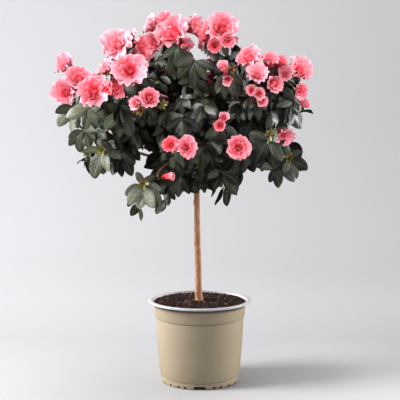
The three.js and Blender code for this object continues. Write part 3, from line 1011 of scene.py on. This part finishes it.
def whorl(end, direction, count, length, shade, low=48, high=88, hang=(0.3, 1.0)):
    """Leaf rows round a shoot's end, at low to high degrees from it. Their upper sides turn outwards
    from the head, to the light."""
    to_light = unit((end - CROWN_MIDDLE) * np.array([0.45, 1.4, 0.3])) * 0.9 + np.array([0, 0, 0.3])
    turn = rng.uniform(0, math.tau)
    rows = []
    for index in range(count):
        around = turn + index * math.tau / count + rng.uniform(-0.3, 0.3)
        way, upper = leaning(direction, around, math.radians(rng.uniform(low, high)))
        way = unit(way + DOWN * rng.uniform(*hang))
        upper = unit(upper + to_light)
        upper = unit(upper - way * upper.dot(way))
        size = length * rng.uniform(0.74, 1.05) * (0.92 - 0.14 * way[2])
        rows.append((end - direction * rng.uniform(0, 6), way, upper, size,
                     size * rng.uniform(0.2, 0.29), rng.uniform(0.2, 1.1), rng.uniform(-0.4, 0.4),
                     rng.uniform(-0.05, 0.28), max(0, min(PALEST, shade + int(rng.integers(-1, 2))))))
    return rows


# %% Leaves of every shoot and bloom
LOWER_WHORL, UNDER_BLOOM = 11, 5  # mm below the end of a shoot, and below a bloom
leaf_rows = []
for number, (end, direction, count, length, shade) in enumerate(shoots):
    if number < len(SPRAYS):
        leaf_rows += whorl(end, direction, count, length, shade, low=60, high=92, hang=(0.1, 0.6))
    else:
        leaf_rows += whorl(end, direction, count, length, shade)
        lower = end - direction * LOWER_WHORL
        leaf_rows += whorl(lower, direction, 4, length * 0.95, shade, low=70, high=105)
for middle, faces_to, radius, opening, shade in bloom_list:
    base = bloom_base(middle, faces_to, radius, opening)
    # Painted light: leaves under the low blooms on the left get a paler green.
    pale = 2 if middle[0] < -110 and middle[2] < 425 else 1
    points_to = unit(faces_to * 0.6 + unit(middle - CROWN_MIDDLE))
    leaf_rows += whorl(base - faces_to * UNDER_BLOOM, points_to, 7, 28, pale, low=60, high=100)
inner = scatter(throws=9000, spacing=27, inset=42, taken=[])
for end, normal in inner:
    any_way = unit(normal + rng.normal(size=3) * 0.4)
    # Painted shade: the inner leaves take the first green, nearly black.
    leaf_rows += whorl(end, any_way, 7, 31, 0, low=40, high=100)
print("leaves before clipping", len(leaf_rows), "inner shoots", len(inner))

# %% [markdown]
# A bud that opens stands in the middle of a whorl, and small scales sit at the foot of every bloom.

# %% Bud scales
GOLDEN, BROWN_SCALE, GREEN_SCALE = 2.4, 7, 6  # turn from scale to scale, and two columns of the map


def tuft(end, direction, count, length, orange):
    """Scales of an opening bud: narrow, upright, yellow-green, some of them orange brown."""
    rows = []
    for index in range(count):
        around = index * GOLDEN + rng.uniform(-0.3, 0.3)
        lean = math.radians(rng.uniform(8, 22) + 48 * index / count)
        way, upper = leaning(direction, around, lean)
        size = length * rng.uniform(0.7, 1.1)
        rows.append((end, unit(way), unit(upper), size, size * rng.uniform(0.2, 0.27),
                     rng.uniform(0, 0.3), rng.uniform(-0.3, 0.3), 0.3,
                     BROWN_SCALE if rng.uniform() < orange else GREEN_SCALE))
    return rows


scale_rows = []
for number, (end, direction, *_) in enumerate(shoots):
    if number in BIG_BUDS:
        scale_rows += tuft(end, direction, count=9, length=11, orange=0.45)
    elif rng.uniform() >= 0.6:
        scale_rows += tuft(end, direction, count=4, length=6, orange=0.15)
for end, direction in TUFTS:
    scale_rows += tuft(np.array(end, float), unit(direction), count=9, length=11, orange=0.5)
for middle, faces_to, radius, opening, _ in bloom_list:
    base = bloom_base(middle, faces_to, radius, opening)
    scale_rows += tuft(base, faces_to, count=5, length=5 + radius * 0.2, orange=0.3)
print("scales", len(scale_rows))

# %% [markdown]
# Leaves that would lie in a bloom or hide one are left out, and so are those that stand far out of
# the clipped head. No leaf that grew at random may close a gap.

# %% Clipping the leaves
FRONT = np.array([0.0, -1, 0])
LOW_LEAVES = 302  # mm; a leaf below it may not show only its edge
IN_BLOOM, BEFORE_BLOOM = 0.92, 0.8  # shares of a bloom's radius
HIDES_WITHIN, CLIPPED_AT = 60, 11  # mm before a bloom, and mm outside the masses
middles = np.array([bloom[0] for bloom in bloom_list])
sizes = np.array([bloom[2] for bloom in bloom_list])
opens_to = np.array([bloom[1] for bloom in bloom_list])
shown_to = opens_to.copy()
shown_to[:len(BLOOMS)] = FRONT


def has_room(row, hand_set):
    """Whether a leaf can stay. Those of the listed sprays have to keep clear of the blooms only."""
    start, way, upper, length, _, droop = row[:6]
    for part in (0.35, 0.7, 1.0):
        spot = start + unit(way + DOWN * droop * 0.5 * part) * length * part
        away = spot - middles
        if (np.linalg.norm(away, axis=1) < sizes * IN_BLOOM).any():
            return False
        for towards in (opens_to, shown_to):
            ahead = (away * towards).sum(axis=1)
            aside = np.linalg.norm(away - ahead[:, None] * towards, axis=1)
            if ((ahead > 0) & (ahead < HIDES_WITHIN) & (aside < sizes * BEFORE_BLOOM)).any():
                return False
        if not hand_set and (shows_in_gap(spot) or (spot[2] < LOW_LEAVES and abs(upper[1]) < 0.5)):
            return False
    place, normal, _, _ = tree.find_nearest(Vector(spot))
    outwards = Vector(spot) - place
    return hand_set or outwards.dot(normal) < 0 or outwards.length < CLIPPED_AT


by_hand = sum(shoot[2] for shoot in shoots[:len(SPRAYS)])
leaf_rows = [row for i, row in enumerate(leaf_rows) if has_room(row, i < by_hand)]
print("leaves", len(leaf_rows))

# %% [markdown]
# The map OFBake has one column for each green. Across a column lie the two halves of the blade, so
# the midrib is at its middle, and the veins run from there to the margin in slanting lines. A mottle
# breaks up the even colour; darker margins and a lighter middle are painted shade and sheen.

# %% Leaf finish
# Painted light and shade in the greens: the first, nearly black, is for leaves deep in the head, and
# the palest, greyer ones on the left stand partly for the key's light and sheen.
LEAF_TINTS = [(15, 18, 10), (40, 46, 29), (56, 62, 42), (78, 85, 62), (98, 104, 84), (126, 132, 114),
              (128, 138, 66), (150, 92, 48)]
VEINS, VEIN_SLANT = 44, 24
leaf_green = Finish("leaf_green", Roughness=0.45, Specular_IOR_Level=0.7)
leaf_map = leaf_green.add("UVMap", uv_map="OFBake")
across, up, _ = leaf_green.parts(leaf_map)
column = leaf_green.math("MULTIPLY", across, SHADES)
local = leaf_green.math("FRACT", column)
off_rib = leaf_green.math("ABSOLUTE", leaf_green.math("SUBTRACT", local, 0.5))
tint = leaf_green.ramp(leaf_green.math("DIVIDE", column, SHADES),
                       [(i / SHADES, srgb(*color)) for i, color in enumerate(LEAF_TINTS)], "CONSTANT")
up_leaf = leaf_green.math("MULTIPLY", up, VEINS)
slanted = leaf_green.math("SUBTRACT", up_leaf, leaf_green.math("MULTIPLY", off_rib, VEIN_SLANT))
vein_line = leaf_green.ramp(leaf_green.math("SINE", slanted), [(0.0, BLACK), (1.0, WHITE)])
rib_line = leaf_green.ramp(off_rib, [(0.012, WHITE), (0.045, BLACK)])
with_veins = leaf_green.mix(leaf_green.math("MULTIPLY", vein_line, 0.13), tint, srgb(26, 32, 20))
with_rib = leaf_green.mix(leaf_green.math("MULTIPLY", rib_line, 0.24), with_veins, srgb(128, 140, 104))
mottle = leaf_green.ramp(leaf_green.noise(26.0, 2.0, leaf_map), [
    (0.3, (0.58, 0.58, 0.56)), (0.7, (1.35, 1.35, 1.32))])
# Painted shade and sheen: the margins are darkened and the middle lightened a little, as a curved satin
# leaf looks.
edge = leaf_green.ramp(off_rib, [(0.0, (1.1, 1.1, 1.1)), (0.28, WHITE), (0.46, (0.66, 0.66, 0.66))])
mottled = leaf_green.mix(1.0, with_rib, mottle, "MULTIPLY")
leaf_green.link("Base Color", leaf_green.mix(1.0, mottled, edge, "MULTIPLY"))
vein_dip = leaf_green.math("MULTIPLY", vein_line, -0.5)
relief = leaf_green.math("SUBTRACT", vein_dip, rib_line)
leaf_green.bump(relief, 0.0006, 0.35)
print("greens", len(LEAF_TINTS))


# %% Leaf and bud scale meshes
def show_sheets(name, shapes, finish, lamps):
    """Shows many bent sheets as one piece, in the group that its lamps are kept to."""
    points, faces, uv = shapes
    piece = show(name, join_copies(name, points, faces, uv), finish.material)
    lamps.objects.link(piece)
    print(name, len(piece.data.polygons) * 2, "triangles")
    return piece


LEAVES_A_PIECE = 2400  # keeps a piece under 200,000 triangles
for part, start in enumerate(range(0, len(leaf_rows), LEAVES_A_PIECE)):
    shapes = leaf_shapes(leaf_rows[start:start + LEAVES_A_PIECE])
    piece = show_sheets(f"leaves_{part + 1}", shapes, leaf_green, head_leaves)
    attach(piece, "root")
    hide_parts(*masses)
piece = show_sheets("bud_scales", leaf_shapes(scale_rows, 2, 5), leaf_green, head_leaves)
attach(piece, "root")

# %% [markdown]
# ## Blooms
#
# These azaleas are double: rings of frilled petals, the outer ones laid open, the inner ones cupped and
# the last ones closed over the heart. All petals come from one sheet. Its middle line leaves the tube
# almost straight and turns outwards by an angle that depends on the ring and on how far the bloom has
# opened. The sheet wraps part of the way round the bloom, its edge is ruffled, and each petal overlaps
# the next. Small blooms have fewer petals and rounder rims.

# %% Petals
PETAL_RINGS = [  # petals, end angle, length, width and ruffle, as shares
    (5, 1.0, 1.0, 1.15, 0.15),
    (5, 0.8, 0.88, 1.08, 0.13),
    (5, 0.5, 0.72, 0.9, 0.10),
    (4, -0.22, 0.6, 0.72, 0.05),
]
SMALL_RINGS = [(5, 1.0, 1.0, 1.2, 0.06), (4, 0.5, 0.9, 1.05, 0.05), (3, -0.3, 0.78, 0.8, 0.03)]
PETAL_SHADES = 6  # columns of the petal map: outer and inner petals of three shades
CLAW = 0.5  # where a petal is widest, as a share of its length
START_ANGLE = math.radians(9)


def turned_out(end_angle, along):
    """The angle between a petal and its bloom's axis, at a share of the petal's length."""
    return START_ANGLE + (end_angle - START_ANGLE) * along ** 1.25


def petal_rows(middle, faces_to, radius, opening, shade):
    """One row per petal: base, axis, out, length, half width, end angle, ruffle, shade, phase and
    corner."""
    full_bloom = radius > 10 and opening > 0.45
    rings = PETAL_RINGS if full_bloom else SMALL_RINGS
    corner = 0.44 if full_bloom else 0.26
    base = bloom_base(middle, faces_to, radius, opening)
    first, second = side_of(faces_to)
    widest = math.radians(16 + 88 * opening)
    reach = np.sin(turned_out(widest, np.linspace(0, 1, 20))).mean()
    full = 1.1 * radius / reach
    turn = rng.uniform(0, math.tau)
    rows = []
    for ring, (count, angle, longer, wider, ruffle) in enumerate(rings):
        for index in range(count):
            around = turn + (index + 0.5 * (ring % 2)) * math.tau / count + rng.uniform(-0.18, 0.18)
            out = first * math.cos(around) + second * math.sin(around)
            end_angle = widest * angle * rng.uniform(0.82, 1.15)
            length = full * longer * rng.uniform(0.88, 1.08)
            half_width = radius * (0.84 - 0.2 * opening) * wider * rng.uniform(0.9, 1.1)
            rows.append((base, faces_to, out, length, half_width, end_angle,
                         ruffle * rng.uniform(0.7, 1.3), shade * 2 + (ring > 0), rng.uniform(0, 1),
                         corner))
    return rows


all_petals = [row for bloom in bloom_list for row in petal_rows(*bloom)]
print("blooms", len(bloom_list), "petals", len(all_petals))

# %% Bending petals
CELLS = 40  # short steps along the middle line
OVERLAP = 0.14  # how far one side of a petal lies over the next


def petal_shapes(rows, across=12, along=6):
    """Bends one sheet per row. The middle line is added up from short steps, then the sheet is wrapped
    round the bloom, ruffled at its edge and notched at its tip."""
    places, faces = sheet_of(across, along)
    base, axis, out = (np.array([row[i] for row in rows]) for i in range(3))
    length, wide, angle, ruffle, shade, phase, corner = (
        np.array([row[i] for row in rows], float)[:, None] for i in range(3, 10))
    side = np.cross(axis, out)
    bend = turned_out(angle, np.linspace(0, 1, CELLS + 1)[None])
    half_way = (bend[:, 1:] + bend[:, :-1]) / 2
    start = np.zeros((len(rows), 1))
    far = np.hstack([start, np.cumsum(np.sin(half_way) / CELLS, axis=1)])
    high = np.hstack([start, np.cumsum(np.cos(half_way) / CELLS, axis=1)])
    t, s = places[:, 0][None], places[:, 1][None]
    blade = np.maximum(0, (s - CLAW) / (1 - CLAW))
    scallop = 0.03 * np.cos(2 * np.pi * (1.25 * t + phase) + 1) * blade ** 3
    notch = 0.05 * np.exp(-(t / 0.22) ** 2) * blade ** 3
    s_here = np.minimum(s, CLAW) + (1 - CLAW) * blade * np.sqrt(1 - corner * t ** 2) + scallop - notch
    pick = np.clip(s_here * CELLS, 0, CELLS)
    low = np.floor(pick).astype(int).clip(0, CELLS - 1)
    part = pick - low
    rows_index = np.arange(len(rows))[:, None]

    def at(table):
        return table[rows_index, low] * (1 - part) + table[rows_index, low + 1] * part

    r = at(far) * length + 0.7
    h = at(high) * length
    theta = turned_out(angle, s_here)
    width = wide * (0.26 + 0.74 * np.sin(np.pi / 2 * np.minimum(1, s / CLAW)) ** 1.2)
    y = width * t * np.sqrt(1 - corner * blade ** 2)
    rho = 1.35 * np.maximum(r, 0) + 2.5
    phi = np.clip(y / rho, -1.35, 1.35)
    normal = axis[:, None] * np.sin(theta)[..., None] - out[:, None] * np.cos(theta)[..., None]
    margin = s ** 1.6 * (0.25 + 0.75 * np.maximum(s, np.abs(t)) ** 4)
    wave = ruffle * wide * margin * (np.sin(2 * np.pi * (1.25 * t + phase))
                                     + 0.45 * np.sin(2 * np.pi * (2.0 * t + 2 * phase)))
    lift = wave + OVERLAP * wide * t * s - 0.10 * wide * np.maximum(0, s - 0.7) ** 1.5
    points = (base[:, None] + axis[:, None] * h[..., None]
              + out[:, None] * (r - rho * (1 - np.cos(phi)))[..., None]
              + side[:, None] * (rho * np.sin(phi))[..., None] + normal * lift[..., None])
    return points, faces, map_places(shade, t, s, PETAL_SHADES)


# %% [markdown]
# A petal is deep red in the tube and pales towards its rim, the inner petals later than the outer
# ones. That is the bloom's own colour, but the tube and the middle are made deeper still as painted
# shade of the hollow bloom. Pale blooms are washed with light pink and deep ones are darkened, each
# by its column of the map.

# %% Petal finish
pink = Finish("petal_pink", Roughness=0.55, Specular_IOR_Level=0.25, Sheen_Weight=0.06)
across, up, _ = pink.parts(pink.add("UVMap", uv_map="OFBake"))
column = pink.math("MULTIPLY", across, PETAL_SHADES)
off_middle = pink.math("ABSOLUTE", pink.math("SUBTRACT", pink.math("FRACT", column), 0.5))
to_edge = pink.math("MAXIMUM", up, pink.math("MULTIPLY", off_middle, 2.05))
# Painted shade over the petal's own colour: the stops near the tube are deeper than the bloom itself.
outer = pink.ramp(up, [(0.0, srgb(190, 14, 32)), (0.28, srgb(226, 54, 72)), (0.55, srgb(241, 122, 139)),
                       (0.86, srgb(243, 160, 175)), (1.0, srgb(246, 178, 191))])
inner = pink.ramp(up, [(0.1, srgb(150, 2, 12)), (0.42, srgb(212, 20, 38)), (0.74, srgb(245, 90, 108)),
                       (1.0, srgb(252, 162, 177))])
pair = pink.math("FRACT", pink.math("MULTIPLY", column, 0.5))
which = pink.ramp(pair, [(0.0, BLACK), (0.5, WHITE)], "CONSTANT")
body = pink.mix(which, outer, inner)
rim = pink.ramp(to_edge, [(0.88, BLACK), (0.99, WHITE)])
rim_share = pink.math("MULTIPLY", rim, pink.math("MULTIPLY", up, 0.3))
with_rim = pink.mix(rim_share, body, srgb(255, 212, 220))
place = pink.math("DIVIDE", column, PETAL_SHADES)
deep = pink.ramp(place, [(0.0, WHITE), (4 / 6, (0.98, 0.66, 0.68))], "CONSTANT")
pale = pink.ramp(place, [(0.0, BLACK), (2 / 6, (0.2, 0.2, 0.2)), (4 / 6, BLACK)], "CONSTANT")
toned = pink.mix(1.0, with_rim, deep, "MULTIPLY")
pink.link("Base Color", pink.mix(pink.math("MULTIPLY", pale, up), toned, srgb(255, 216, 224)))
print("petal finish", pink.material.name)

# %% Petal meshes
PETALS_A_PIECE = 1300  # keeps a piece under 200,000 triangles
for part, start in enumerate(range(0, len(all_petals), PETALS_A_PIECE)):
    shapes = petal_shapes(all_petals[start:start + PETALS_A_PIECE])
    piece = show_sheets(f"petals_{part + 1}", shapes, pink, blooms_only)
    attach(piece, "root")
